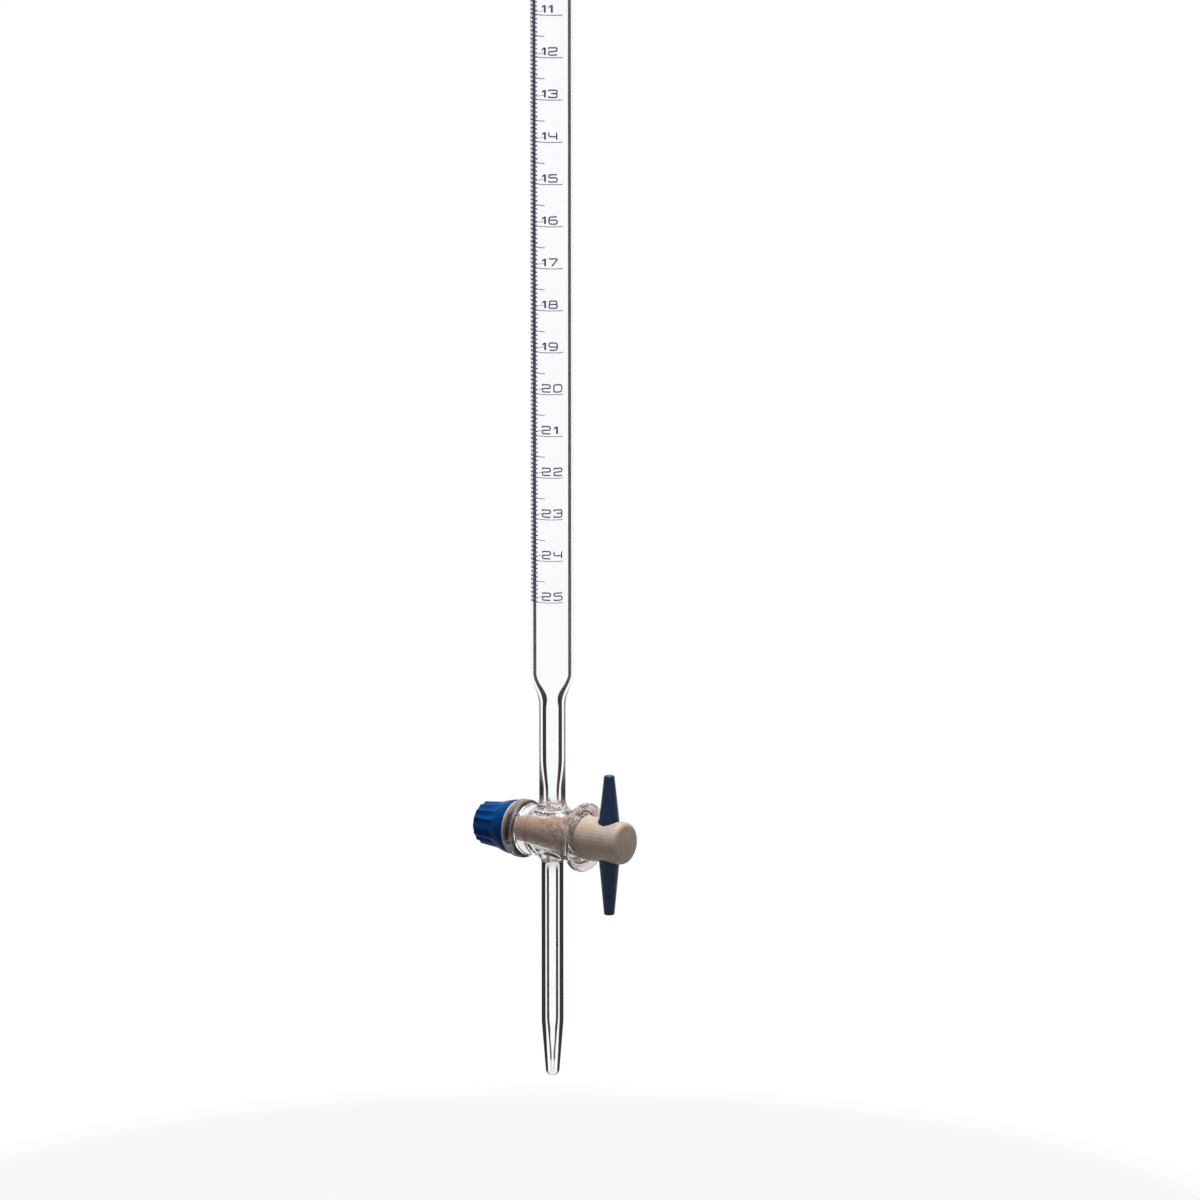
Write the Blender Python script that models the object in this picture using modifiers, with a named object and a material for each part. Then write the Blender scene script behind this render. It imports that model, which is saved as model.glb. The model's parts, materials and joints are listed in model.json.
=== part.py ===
"""A 25 mL glass burette with a PTFE stopcock, as an assembly of its six pieces.

The origin is on the tube's axis, where a stand's clamp grips it below the rim.
+Z runs up the tube, and +X runs along the stopcock's plug towards its handle.
"""

import math

import bpy

MM = 0.001

# Clearance between pieces that seat on or in each other
SEAT_GAP = 0.3 * MM

# Graduated tube
NOMINAL_VOLUME = 25e-6
BORE = 10.1 * MM
WALL = 1.25 * MM
CLAMP_BELOW_RIM = 49 * MM
ZERO_BELOW_RIM = 147.5 * MM
CLEAR_BELOW_SCALE = 21.9 * MM

# Beaded rim
BEAD_OUTSIDE = 14.6 * MM
BEAD_ROUND = 0.9 * MM
BEAD_DROP = 1.2 * MM
BEAD_HEIGHT = 3.2 * MM
MOUTH_FLARE = 0.6 * MM

# Shoulder and neck
SHOULDER_HEIGHT = 10.0 * MM
NECK_OUTSIDE = 7.8 * MM
NECK_BORE = 4.6 * MM
NECK_HEIGHT = 38.8 * MM
NECK_FILLET = 3.0 * MM
NECK_FILLET_HEIGHT = 4.3 * MM
PORT_BORE = 2.4 * MM
PORT_ABOVE_BARREL = 3.4 * MM
PORT_CONE_HEIGHT = 12.6 * MM

# Jet
JET_OUTSIDE = 6.5 * MM
JET_BORE = 2.35 * MM
JET_HEIGHT = 74.2 * MM
JET_FILLET = 2.2 * MM
JET_TAPER_HEIGHT = 16.8 * MM
TIP_OUTSIDE = 4.06 * MM
TIP_ROUND_HEIGHT = 1.65 * MM
TIP_FLAT = 0.9 * MM
CAPILLARY_BORE = 0.6 * MM
CAPILLARY_HEIGHT = 4.8 * MM
BORE_CONE_HEIGHT = 14.6 * MM

# Stopcock barrel, along X from the tube's axis
BARREL_OUTSIDE = 15.0 * MM
HANDLE_END = 12.8 * MM
NUT_END = 12.2 * MM
HANDLE_FLANGE_OUTSIDE = 20.7 * MM
HANDLE_FLANGE_THICKNESS = 2.0 * MM
HANDLE_FLANGE_FLARE = 2.9 * MM
NUT_FLANGE_OUTSIDE = 17.5 * MM
NUT_FLANGE_THICKNESS = 3.4 * MM
NUT_FLANGE_FLARE = 0.9 * MM
FLANGE_EDGE = 0.8 * MM

# Plug
PLUG_LARGE_END = 13.0 * MM
TAPER_RATIO = 5
PLUG_RECESS = 1.0 * MM
COLLAR_OUTSIDE = 13.2 * MM
COLLAR_LENGTH = 2.0 * MM
WAIST_OUTSIDE = 12.4 * MM
HEAD_OUTSIDE = 12.8 * MM
HEAD_LENGTH = 14.4 * MM
HEAD_EDGE = 1.6 * MM
HEAD_DOME = 0.3 * MM
STUB_OUTSIDE = 7.0 * MM
STUB_LENGTH = 13.2 * MM
STUB_CHAMFER = 0.5 * MM
STUB_FLAT = 2.7 * MM

# Handle bar
BAR_FROM_MOUTH = 8.1 * MM
BAR_LENGTH = 42.2 * MM
BAR_MIDDLE = 6.2 * MM
BAR_END = 3.2 * MM
BAR_EDGE = 0.4 * MM
BAR_DROP = 1.2 * MM

# Washer and ring
WASHER_OUTSIDE = 16.2 * MM
WASHER_THICKNESS = 0.6 * MM
RING_SECTION = 1.6 * MM

# Tension nut
NUT_LENGTH = 11.8 * MM
NUT_MOUTH_OUTSIDE = 16.4 * MM
NUT_BODY_OUTSIDE = 13.7 * MM
NUT_END_OUTSIDE = 12.9 * MM
NUT_FLARE_LENGTH = 7.0 * MM
NUT_EDGE = 0.7 * MM
FLUTES = 16
FLUTE_DEPTH = 0.42 * MM
FLUTE_FROM_MOUTH = 1.8 * MM
FLUTE_FADE_LENGTH = 4.2 * MM

# Facets
TUBE_STEPS = 40
PLUG_STEPS = 36
BAR_STEPS = 24
RING_SECTION_STEPS = 10
STEPS_PER_FLUTE = 6
SHADE_ANGLE = math.radians(35)

# Places worked out from the sizes above
TUBE_RADIUS = BORE / 2 + WALL
RIM_Z = CLAMP_BELOW_RIM
SCALE_LENGTH = NOMINAL_VOLUME / (math.pi * (BORE / 2) ** 2)
SHOULDER_TOP = RIM_Z - ZERO_BELOW_RIM - SCALE_LENGTH - CLEAR_BELOW_SCALE
SHOULDER_BOTTOM = SHOULDER_TOP - SHOULDER_HEIGHT
PLUG_Z = SHOULDER_BOTTOM - NECK_HEIGHT
TIP_Z = PLUG_Z - JET_HEIGHT
BARREL_RADIUS = BARREL_OUTSIDE / 2
STUB_START = -NUT_END + PLUG_RECESS
STUB_END = STUB_START - STUB_LENGTH
WASHER_FACE = -NUT_END - SEAT_GAP
RING_FACE = WASHER_FACE - WASHER_THICKNESS - SEAT_GAP
STUB_HOLE_RADIUS = STUB_OUTSIDE / 2 + SEAT_GAP
RECESS_RADIUS = STUB_HOLE_RADIUS + RING_SECTION + SEAT_GAP


def arc(centre, radii, start, end, count):
    """Points of an elliptical arc of (radius, height), from one angle in degrees to another."""
    points = []
    for i in range(count + 1):
        angle = math.radians(start + (end - start) * i / count)
        points.append((centre[0] + radii[0] * math.cos(angle), centre[1] + radii[1] * math.sin(angle)))
    return points


def ease(start, end, count):
    """Points of an S-curve of (radius, height) that leaves and arrives along the axis."""
    points = []
    for i in range(count + 1):
        share = i / count
        blend = (1 - math.cos(math.pi * share)) / 2
        points.append((start[0] + (end[0] - start[0]) * blend, start[1] + (end[1] - start[1]) * share))
    return points


def collection(name):
    made = bpy.data.collections.new(name)
    bpy.context.scene.collection.children.link(made)
    return made


def material(name, colour, roughness, transmission=0.0):
    made = bpy.data.materials.new(name)
    made.use_nodes = True
    shader = made.node_tree.nodes["Principled BSDF"]
    shader.inputs["Base Color"].default_value = (*colour, 1.0)
    shader.inputs["Roughness"].default_value = roughness
    shader.inputs["Metallic"].default_value = 0.0
    shader.inputs["Transmission Weight"].default_value = transmission
    return made


def turned(name, profile, steps, place, closed=False):
    """Turns a profile of (radius, height) points, listed down its outer side, about its Z axis."""
    last = len(profile)
    edges = [(i, i + 1) for i in range(last - 1)]
    if closed:
        edges.append((last - 1, 0))
    mesh = bpy.data.meshes.new(name)
    mesh.from_pydata([(radius, 0, height) for radius, height in profile], edges, [])
    made = bpy.data.objects.new(name, mesh)
    place.objects.link(made)
    screw = made.modifiers.new("Turn", "SCREW")
    screw.steps = steps
    screw.render_steps = steps
    screw.use_merge_vertices = True
    screw.merge_threshold = 1e-6
    return made


def lay_along_x(piece):
    """Turns a piece that was made about Z so that its top points along +X."""
    piece.rotation_euler = (0, math.pi / 2, 0)


def boolean(piece, operation, other):
    modifier = piece.modifiers.new(other.name, "BOOLEAN")
    modifier.operation = operation
    modifier.object = other
    modifier.solver = "EXACT"


def cutter(piece):
    piece.hide_render = True
    piece.display_type = "WIRE"
    return piece


def box(name, low, high, place):
    bpy.ops.mesh.primitive_cube_add(size=1)
    made = bpy.context.active_object
    made.name = name
    for owner in list(made.users_collection):
        owner.objects.unlink(made)
    place.objects.link(made)
    for vertex in made.data.vertices:
        for axis in range(3):
            vertex.co[axis] = high[axis] if vertex.co[axis] > 0 else low[axis]
    return made


def settle(piece, finish):
    """Makes a piece's modifiers part of its mesh, and shades its round faces smooth."""
    bpy.context.view_layer.update()
    graph = bpy.context.evaluated_depsgraph_get()
    piece.data = bpy.data.meshes.new_from_object(piece.evaluated_get(graph))
    piece.data.name = piece.name
    piece.modifiers.clear()
    piece.data.materials.clear()
    piece.data.materials.append(finish)
    piece.data.shade_smooth()
    piece.data.set_sharp_from_angle(angle=SHADE_ANGLE)


def tube_and_jet_outside():
    """The outside of everything that is turned about the tube's axis, from the rim to the tip."""
    bead_radius = BEAD_OUTSIDE / 2
    neck_radius = NECK_OUTSIDE / 2
    jet_radius = JET_OUTSIDE / 2
    tip_radius = TIP_OUTSIDE / 2
    tip_flat_radius = TIP_FLAT / 2
    foot_angle = 60
    foot_rise = 0.77
    neck_foot_z = PLUG_Z + BARREL_RADIUS + foot_rise * NECK_FILLET_HEIGHT
    jet_foot_z = PLUG_Z - BARREL_RADIUS - foot_rise * JET_FILLET
    half_barrel = BARREL_RADIUS / 2

    profile = [(0, RIM_Z)]
    bead_centre = (bead_radius - BEAD_ROUND, RIM_Z - BEAD_DROP)
    profile += arc(bead_centre, (BEAD_ROUND, BEAD_DROP), 90, 0, 4)
    profile += ease((bead_radius, RIM_Z - BEAD_DROP), (TUBE_RADIUS, RIM_Z - BEAD_HEIGHT), 4)[1:]
    profile += ease((TUBE_RADIUS, SHOULDER_TOP), (neck_radius, SHOULDER_BOTTOM), 9)

    neck_fillet_centre = (neck_radius + NECK_FILLET, neck_foot_z)
    neck_foot = arc(neck_fillet_centre, (NECK_FILLET, NECK_FILLET_HEIGHT), 180, 180 + foot_angle, 4)
    profile += neck_foot
    profile.append((neck_foot[-1][0], PLUG_Z + half_barrel))

    jet_fillet_centre = (jet_radius + JET_FILLET, jet_foot_z)
    jet_foot = arc(jet_fillet_centre, (JET_FILLET, JET_FILLET), 180 - foot_angle, 180, 4)
    profile.append((jet_foot[0][0], PLUG_Z - half_barrel))
    profile += jet_foot

    profile.append((jet_radius, TIP_Z + JET_TAPER_HEIGHT))
    round_centre = (tip_flat_radius, TIP_Z + TIP_ROUND_HEIGHT)
    profile += arc(round_centre, (tip_radius - tip_flat_radius, TIP_ROUND_HEIGHT), 0, -90, 5)
    profile.append((0, TIP_Z))
    return profile


def tube_and_jet_bore():
    """The way of the liquid from above the rim to below the tip."""
    bore_radius = BORE / 2
    mouth_radius = bore_radius + MOUTH_FLARE
    neck_radius = NECK_BORE / 2
    port_radius = PORT_BORE / 2
    jet_radius = JET_BORE / 2
    capillary_radius = CAPILLARY_BORE / 2
    overrun = WALL
    port_top = PLUG_Z + BARREL_RADIUS + PORT_ABOVE_BARREL
    cone_bottom = TIP_Z + CAPILLARY_HEIGHT

    profile = [(0, RIM_Z + overrun), (mouth_radius, RIM_Z + overrun)]
    profile += ease((mouth_radius, RIM_Z), (bore_radius, RIM_Z - BEAD_HEIGHT), 4)
    profile += ease((bore_radius, SHOULDER_TOP), (neck_radius, SHOULDER_BOTTOM), 9)
    profile += ease((neck_radius, port_top + PORT_CONE_HEIGHT), (port_radius, port_top), 5)
    profile.append((port_radius, PLUG_Z))
    profile.append((jet_radius, PLUG_Z))
    profile += ease((jet_radius, cone_bottom + BORE_CONE_HEIGHT), (capillary_radius, cone_bottom), 6)
    profile.append((capillary_radius, TIP_Z - overrun))
    profile.append((0, TIP_Z - overrun))
    return profile


def barrel_outside():
    """The stopcock's barrel with its two end flanges, from the handle's end to the nut's."""
    handle_radius = HANDLE_FLANGE_OUTSIDE / 2
    nut_radius = NUT_FLANGE_OUTSIDE / 2
    edge = (FLANGE_EDGE, FLANGE_EDGE)
    handle_back = HANDLE_END - HANDLE_FLANGE_THICKNESS
    nut_back = -NUT_END + NUT_FLANGE_THICKNESS
    handle_flat = handle_radius - FLANGE_EDGE
    nut_flat = nut_radius - FLANGE_EDGE

    profile = [(0, HANDLE_END)]
    profile += arc((handle_flat, HANDLE_END - FLANGE_EDGE), edge, 90, 0, 4)
    profile += arc((handle_flat, handle_back + FLANGE_EDGE), edge, 0, -90, 4)
    flare = (handle_flat - BARREL_RADIUS, HANDLE_FLANGE_FLARE)
    profile += arc((handle_flat, handle_back - HANDLE_FLANGE_FLARE), flare, 90, 180, 5)[1:]
    flare = (nut_flat - BARREL_RADIUS, NUT_FLANGE_FLARE)
    profile += arc((nut_flat, nut_back + NUT_FLANGE_FLARE), flare, 180, 270, 3)
    profile += arc((nut_flat, nut_back - FLANGE_EDGE), edge, 90, 0, 4)[1:]
    profile += arc((nut_flat, -NUT_END + FLANGE_EDGE), edge, 0, -90, 4)
    profile.append((0, -NUT_END))
    return profile


def plug_radius_at(x):
    return PLUG_LARGE_END / 2 - (HANDLE_END - x) / TAPER_RATIO / 2


def barrel_bore():
    """The tapered seat, with the plug's clearance, run out past both flanges."""
    overrun = WALL
    high = HANDLE_END + overrun
    low = -NUT_END - overrun
    return [
        (0, high),
        (plug_radius_at(high) + SEAT_GAP, high),
        (plug_radius_at(low) + SEAT_GAP, low),
        (0, low),
    ]


def glass_body(place, cutters, finish):
    body = turned("glass_body", tube_and_jet_outside(), TUBE_STEPS, place)
    barrel = cutter(turned("barrel_form", barrel_outside(), TUBE_STEPS, cutters))
    seat = cutter(turned("seat_bore", barrel_bore(), TUBE_STEPS, cutters))
    bore = cutter(turned("liquid_bore", tube_and_jet_bore(), TUBE_STEPS, cutters))
    for piece in (barrel, seat):
        lay_along_x(piece)
        piece.location = (0, 0, PLUG_Z)
    boolean(body, "UNION", barrel)
    boolean(body, "DIFFERENCE", bore)
    boolean(body, "DIFFERENCE", seat)
    settle(body, finish)
    return body


def plug_outside():
    """The plug from its domed head, along the tapered seat, to the end of its stub."""
    head_radius = HEAD_OUTSIDE / 2
    waist_radius = WAIST_OUTSIDE / 2
    collar_radius = COLLAR_OUTSIDE / 2
    stub_radius = STUB_OUTSIDE / 2
    head_end = HANDLE_END + HEAD_LENGTH
    edge_start = head_end - HEAD_EDGE
    waist_x = HANDLE_END + BAR_FROM_MOUTH
    collar_x = HANDLE_END + COLLAR_LENGTH

    profile = [(0, head_end + HEAD_DOME)]
    profile += arc((head_radius - HEAD_EDGE, edge_start), (HEAD_EDGE, HEAD_EDGE), 90, 0, 5)
    profile += ease((head_radius, edge_start), (waist_radius, waist_x), 5)[1:]
    profile += ease((waist_radius, waist_x), (collar_radius, collar_x), 5)[1:]
    profile += ease((collar_radius, collar_x), (plug_radius_at(HANDLE_END), HANDLE_END), 3)[1:]
    profile.append((plug_radius_at(STUB_START), STUB_START))
    profile.append((stub_radius, STUB_START))
    profile.append((stub_radius, STUB_END + STUB_CHAMFER))
    profile.append((stub_radius - STUB_CHAMFER, STUB_END))
    profile.append((0, STUB_END))
    return profile


def rod_cutter(name, radius, length, x, cutters):
    """A round cutter along Z, centred on the plug's axis at x."""
    half = length / 2
    profile = [(0, half), (radius, half), (radius, -half), (0, -half)]
    made = cutter(turned(name, profile, BAR_STEPS, cutters))
    made.location = (x, 0, 0)
    return made


def stopcock_plug(place, cutters, pivot, finish):
    plug = turned("stopcock_plug", plug_outside(), PLUG_STEPS, place)
    lay_along_x(plug)
    bar_hole_radius = BAR_MIDDLE / 2 + SEAT_GAP
    through = 2 * PLUG_LARGE_END
    cross_bore = rod_cutter("cross_bore", PORT_BORE / 2, through, 0, cutters)
    bar_hole = rod_cutter("bar_hole", bar_hole_radius, through, HANDLE_END + BAR_FROM_MOUTH, cutters)
    flat = cutter(
        box(
            "stub_flat",
            (STUB_END - SEAT_GAP, -STUB_OUTSIDE, STUB_FLAT),
            (STUB_START - SEAT_GAP, STUB_OUTSIDE, STUB_OUTSIDE),
            cutters,
        )
    )
    for piece in (plug, cross_bore, bar_hole, flat):
        piece.parent = pivot
    boolean(plug, "DIFFERENCE", cross_bore)
    boolean(plug, "DIFFERENCE", bar_hole)
    boolean(plug, "DIFFERENCE", flat)
    settle(plug, finish)
    return plug


def handle_bar(place, pivot, finish):
    """The bar through the plug's head: straight inside the head, tapered to both ends."""
    half = BAR_LENGTH / 2
    middle_radius = BAR_MIDDLE / 2
    end_radius = BAR_END / 2
    straight = WAIST_OUTSIDE / 2 - SEAT_GAP
    edge = (BAR_EDGE, BAR_EDGE)
    profile = [(0, half)]
    profile += arc((end_radius - BAR_EDGE, half - BAR_EDGE), edge, 90, 0, 3)
    profile.append((middle_radius, straight + BAR_DROP))
    profile.append((middle_radius, BAR_DROP - straight))
    profile += arc((end_radius - BAR_EDGE, BAR_EDGE - half), edge, 0, -90, 3)
    profile.append((0, -half))
    bar = turned("handle_bar", profile, BAR_STEPS, place)
    bar.parent = pivot
    bar.location = (HANDLE_END + BAR_FROM_MOUTH, 0, -BAR_DROP)
    settle(bar, finish)
    return bar


def ptfe_washer(place, cutters, pivot, finish):
    """The washer against the glass, whose hole has the stub's flat."""
    radius = WASHER_OUTSIDE / 2
    back = WASHER_FACE - WASHER_THICKNESS
    profile = [(0, WASHER_FACE), (radius, WASHER_FACE), (radius, back), (0, back)]
    washer = turned("ptfe_washer", profile, PLUG_STEPS, place)
    hole_profile = [
        (0, WASHER_FACE + SEAT_GAP),
        (STUB_HOLE_RADIUS, WASHER_FACE + SEAT_GAP),
        (STUB_HOLE_RADIUS, back - SEAT_GAP),
        (0, back - SEAT_GAP),
    ]
    hole = cutter(turned("washer_hole", hole_profile, PLUG_STEPS, cutters))
    for piece in (washer, hole):
        lay_along_x(piece)
    flat_space = cutter(
        box(
            "washer_flat",
            (back - STUB_OUTSIDE, -STUB_OUTSIDE, STUB_FLAT + SEAT_GAP),
            (WASHER_FACE + STUB_OUTSIDE, STUB_OUTSIDE, 2 * STUB_OUTSIDE),
            cutters,
        )
    )
    for piece in (washer, hole, flat_space):
        piece.parent = pivot
    boolean(hole, "DIFFERENCE", flat_space)
    boolean(washer, "DIFFERENCE", hole)
    settle(washer, finish)
    return washer


def o_ring(place, pivot, finish):
    section_radius = RING_SECTION / 2
    middle_radius = STUB_HOLE_RADIUS + section_radius
    section = (section_radius, section_radius)
    centre = (middle_radius, RING_FACE - section_radius)
    profile = arc(centre, section, 90, -270, RING_SECTION_STEPS)[:-1]
    ring = turned("o_ring", profile, PLUG_STEPS, place, closed=True)
    lay_along_x(ring)
    ring.parent = pivot
    settle(ring, finish)
    return ring


def nut_section():
    """The nut's outside, from its mouth by the glass to its end, then back up its bore."""
    mouth_x = RING_FACE
    end_x = mouth_x - NUT_LENGTH
    end_radius = NUT_END_OUTSIDE / 2
    recess_x = RING_FACE - RING_SECTION - SEAT_GAP
    edge = (NUT_EDGE, NUT_EDGE)

    profile = ease((NUT_MOUTH_OUTSIDE / 2, mouth_x), (NUT_BODY_OUTSIDE / 2, mouth_x - NUT_FLARE_LENGTH), 7)
    profile += arc((end_radius - NUT_EDGE, end_x + NUT_EDGE), edge, 0, -90, 3)
    profile.append((STUB_HOLE_RADIUS, end_x))
    profile.append((STUB_HOLE_RADIUS, recess_x))
    profile.append((RECESS_RADIUS, recess_x))
    profile.append((RECESS_RADIUS, mouth_x))
    return profile


def flute(nut):
    """Hollows flutes between sharp ribs, deepest at the nut's end and faded out in its flare."""
    fade_start = RING_FACE - FLUTE_FROM_MOUTH
    for vertex in nut.data.vertices:
        x, y, along = vertex.co
        radius = math.hypot(x, y)
        if radius <= RECESS_RADIUS + SEAT_GAP / 2:
            continue
        depth = min(max((fade_start - along) / FLUTE_FADE_LENGTH, 0.0), 1.0)
        angle = math.atan2(y, x)
        hollow = abs(math.sin(FLUTES * angle / 2))
        scale = 1 - FLUTE_DEPTH * depth * hollow / radius
        vertex.co = (x * scale, y * scale, along)


def tension_nut(place, pivot, finish):
    nut = turned("tension_nut", nut_section(), FLUTES * STEPS_PER_FLUTE, place, closed=True)
    settle(nut, finish)
    flute(nut)
    lay_along_x(nut)
    nut.parent = pivot
    return nut


def main():
    for old in list(bpy.data.objects):
        bpy.data.objects.remove(old)
    place = collection("glass_burette")
    cutters = collection("cutters")

    glass = material("borosilicate_glass", (0.95, 0.97, 0.98), 0.03, transmission=1.0)
    ptfe = material("ptfe", (0.80, 0.74, 0.68), 0.45)
    navy = material("navy_plastic", (0.012, 0.024, 0.075), 0.35)
    blue = material("blue_plastic", (0.008, 0.055, 0.26), 0.35)
    rubber = material("black_rubber", (0.02, 0.02, 0.02), 0.7)

    pivot = bpy.data.objects.new("stopcock_axis", None)
    pivot.location = (0, 0, PLUG_Z)
    place.objects.link(pivot)

    glass_body(place, cutters, glass)
    stopcock_plug(place, cutters, pivot, ptfe)
    handle_bar(place, pivot, navy)
    ptfe_washer(place, cutters, pivot, ptfe)
    o_ring(place, pivot, rubber)
    tension_nut(place, pivot, blue)


main()
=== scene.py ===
"""Looks of a 25 mL glass burette: clear glass, an enamel scale, a waxy PTFE plug and blue plastics."""

import bisect
import json
import math

import bmesh
import bpy
from mathutils import Matrix, Vector

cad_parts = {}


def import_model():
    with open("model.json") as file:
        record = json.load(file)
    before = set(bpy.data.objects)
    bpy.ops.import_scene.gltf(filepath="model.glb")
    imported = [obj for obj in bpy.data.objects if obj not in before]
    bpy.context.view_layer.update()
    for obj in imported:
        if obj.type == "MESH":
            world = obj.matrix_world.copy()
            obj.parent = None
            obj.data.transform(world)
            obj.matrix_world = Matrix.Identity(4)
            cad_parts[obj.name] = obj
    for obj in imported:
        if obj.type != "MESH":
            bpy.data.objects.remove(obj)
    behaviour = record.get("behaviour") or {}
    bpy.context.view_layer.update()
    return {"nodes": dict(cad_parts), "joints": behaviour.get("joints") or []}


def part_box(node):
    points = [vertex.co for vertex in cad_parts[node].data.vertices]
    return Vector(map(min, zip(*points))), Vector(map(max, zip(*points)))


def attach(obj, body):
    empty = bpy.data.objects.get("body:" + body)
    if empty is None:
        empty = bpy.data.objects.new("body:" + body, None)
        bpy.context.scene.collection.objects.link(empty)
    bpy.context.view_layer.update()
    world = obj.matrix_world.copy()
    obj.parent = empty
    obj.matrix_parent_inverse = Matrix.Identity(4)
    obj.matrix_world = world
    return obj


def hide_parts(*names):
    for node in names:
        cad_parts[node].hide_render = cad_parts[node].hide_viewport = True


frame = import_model()

MM = 0.001

# Places taken from the frame
GLASS_LOW, GLASS_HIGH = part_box("glass_body")
PLUG_Z = frame["joints"][0]["pos_m"][2]
RIM_Z = GLASS_HIGH.z
TIP_Z = GLASS_LOW.z

# Tube, shoulder and neck
BORE_RADIUS = 5.05 * MM
TUBE_RADIUS = 6.3 * MM
SCALE_VOLUME = 25e-6
LAST_ML = 25
ML_HEIGHT = SCALE_VOLUME / (math.pi * BORE_RADIUS**2) / LAST_ML
ZERO_Z = RIM_Z - 147.5 * MM
FULL_Z = ZERO_Z - LAST_ML * ML_HEIGHT
SHOULDER_TOP = FULL_Z - 21.9 * MM
SHOULDER_BOTTOM = SHOULDER_TOP - 10.0 * MM
NECK_RADIUS = 3.9 * MM
NECK_BORE_RADIUS = 2.3 * MM
NECK_FILLET = 3.0 * MM
NECK_FILLET_HEIGHT = 4.3 * MM
PORT_RADIUS = 1.2 * MM
PORT_TOP = PLUG_Z + 10.9 * MM
PORT_CONE_HEIGHT = 12.6 * MM

# Beaded rim
BEAD_RADIUS = 7.3 * MM
BEAD_ROUND = 0.9 * MM
BEAD_DROP = 1.2 * MM
BEAD_HEIGHT = 3.2 * MM
MOUTH_RADIUS = 5.65 * MM

# Jet
JET_RADIUS = 3.25 * MM
JET_BORE_RADIUS = 1.175 * MM
JET_FILLET = 2.2 * MM
JET_TAPER_TOP = TIP_Z + 16.8 * MM
TIP_RADIUS = 2.03 * MM
TIP_FLAT_RADIUS = 0.45 * MM
TIP_ROUND_HEIGHT = 1.65 * MM
CAPILLARY_RADIUS = 0.3 * MM
CAPILLARY_TOP = TIP_Z + 4.8 * MM
BORE_CONE_HEIGHT = 14.6 * MM

# Feet of the neck and the jet on the barrel: degrees of arc, and how far up the fillet its centre lies
FOOT_ANGLE = 60
FOOT_RISE = 0.77

# Stopcock barrel, along X from the tube's axis
BARREL_RADIUS = 7.5 * MM
HANDLE_END = 12.8 * MM
NUT_END = -12.2 * MM
HANDLE_FLANGE_RADIUS = 10.35 * MM
HANDLE_FLANGE_THICKNESS = 2.0 * MM
HANDLE_FLANGE_FLARE = 2.9 * MM
NUT_FLANGE_RADIUS = 8.75 * MM
NUT_FLANGE_THICKNESS = 3.4 * MM
NUT_FLANGE_FLARE = 0.9 * MM
FLANGE_EDGE = 0.8 * MM
SEAT_LARGE_RADIUS = 6.8 * MM
SEAT_TAPER = 0.1
CUT_OVERRUN = 2 * MM

# Stub of the plug, with the nut's screw thread
STUB_END = -24.4 * MM
STUB_RADIUS = 3.5 * MM
STUB_FLAT = 2.7 * MM
THREAD_PITCH = 1.25 * MM
THREAD_LENGTH = 9.0 * MM
THREAD_RUN_OUT = 0.9 * MM
THREAD_ROOT = 0.1 * MM
THREAD_PROUD = 0.2 * MM
THREAD_HALF_WIDTH = THREAD_PITCH * 0.42
THREAD_STEPS_PER_TURN = 32

# Scale, printed in enamel, with turns in degrees
SCALE_TURN = math.radians(-128)
SHORT_LINE = (-27.3, 31.8)
MIDDLE_LINE = (-52.3, 54.9)
LONG_LINE = (-80.0, 105.0)
MARK_HEIGHT = 0.34 * MM
LINE_HEIGHT = 0.17 * MM
ENAMEL_DEPTH = 0.02 * MM
ENAMEL_PROUD = 0.012 * MM
NUMERAL_START = 45.5
NUMERAL_HEIGHT = 2.55 * MM
NUMERAL_WIDTH = 2.87 * MM
NUMERAL_STROKE = 0.4 * MM
NUMERAL_RISE = 0.61 * MM
NUMERAL_SPACING = 1.05 * MM

# Facets
ROUND_STEPS = 128
BEAD_STEPS = 10
SHOULDER_STEPS = 32
FOOT_STEPS = 12
PORT_STEPS = 12
JET_CONE_STEPS = 14
TIP_STEPS = 10
FLANGE_STEPS = 8
FLARE_STEPS = 14
LOOK_STEP = 1.5 * MM
LINE_STEP_DEGREES = 5
LEAST_LINE_STEPS = 4
CORNER_STEPS = 5
STROKE_STEP = 0.3 * MM
WELD_DISTANCE = 1e-8


def ramp(value, start, width):
    """0 up to a start, 1 from a width above it and a straight line in between."""
    return min(max((value - start) / width, 0.0), 1.0)


def arc(centre, radii, start, end, count):
    """Points of an elliptical arc of (radius, height), from one angle in degrees to another."""
    points = []
    for i in range(count + 1):
        angle = math.radians(start + (end - start) * i / count)
        points.append((centre[0] + radii[0] * math.cos(angle), centre[1] + radii[1] * math.sin(angle)))
    return points


def ease(start, end, count):
    """Points of an S-curve of (radius, height) that leaves and arrives along the axis."""
    points = []
    for i in range(count + 1):
        share = i / count
        blend = (1 - math.cos(math.pi * share)) / 2
        points.append((start[0] + (end[0] - start[0]) * blend, start[1] + (end[1] - start[1]) * share))
    return points


def fine(outline, high, low, step):
    """Adds points to an outline between two heights, so that a look can change along it."""
    points = [outline[0]]
    for before, after in zip(outline, outline[1:]):
        if before[1] <= high and after[1] >= low:
            count = max(math.ceil((before[1] - after[1]) / step), 1)
            for i in range(1, count):
                share = i / count
                points.append(tuple(a + (b - a) * share for a, b in zip(before, after)))
        points.append(after)
    return points


def radius_at(outline, z):
    """The radius of an outline that runs downwards, at one height."""
    heights = [-height for radius, height in outline]
    i = min(max(bisect.bisect_left(heights, -z), 1), len(outline) - 1)
    (r0, z0), (r1, z1) = outline[i - 1], outline[i]
    share = 0.0 if z0 == z1 else min(max((z0 - z) / (z0 - z1), 0.0), 1.0)
    return r0 + (r1 - r0) * share


# Meshes and pieces

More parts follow.
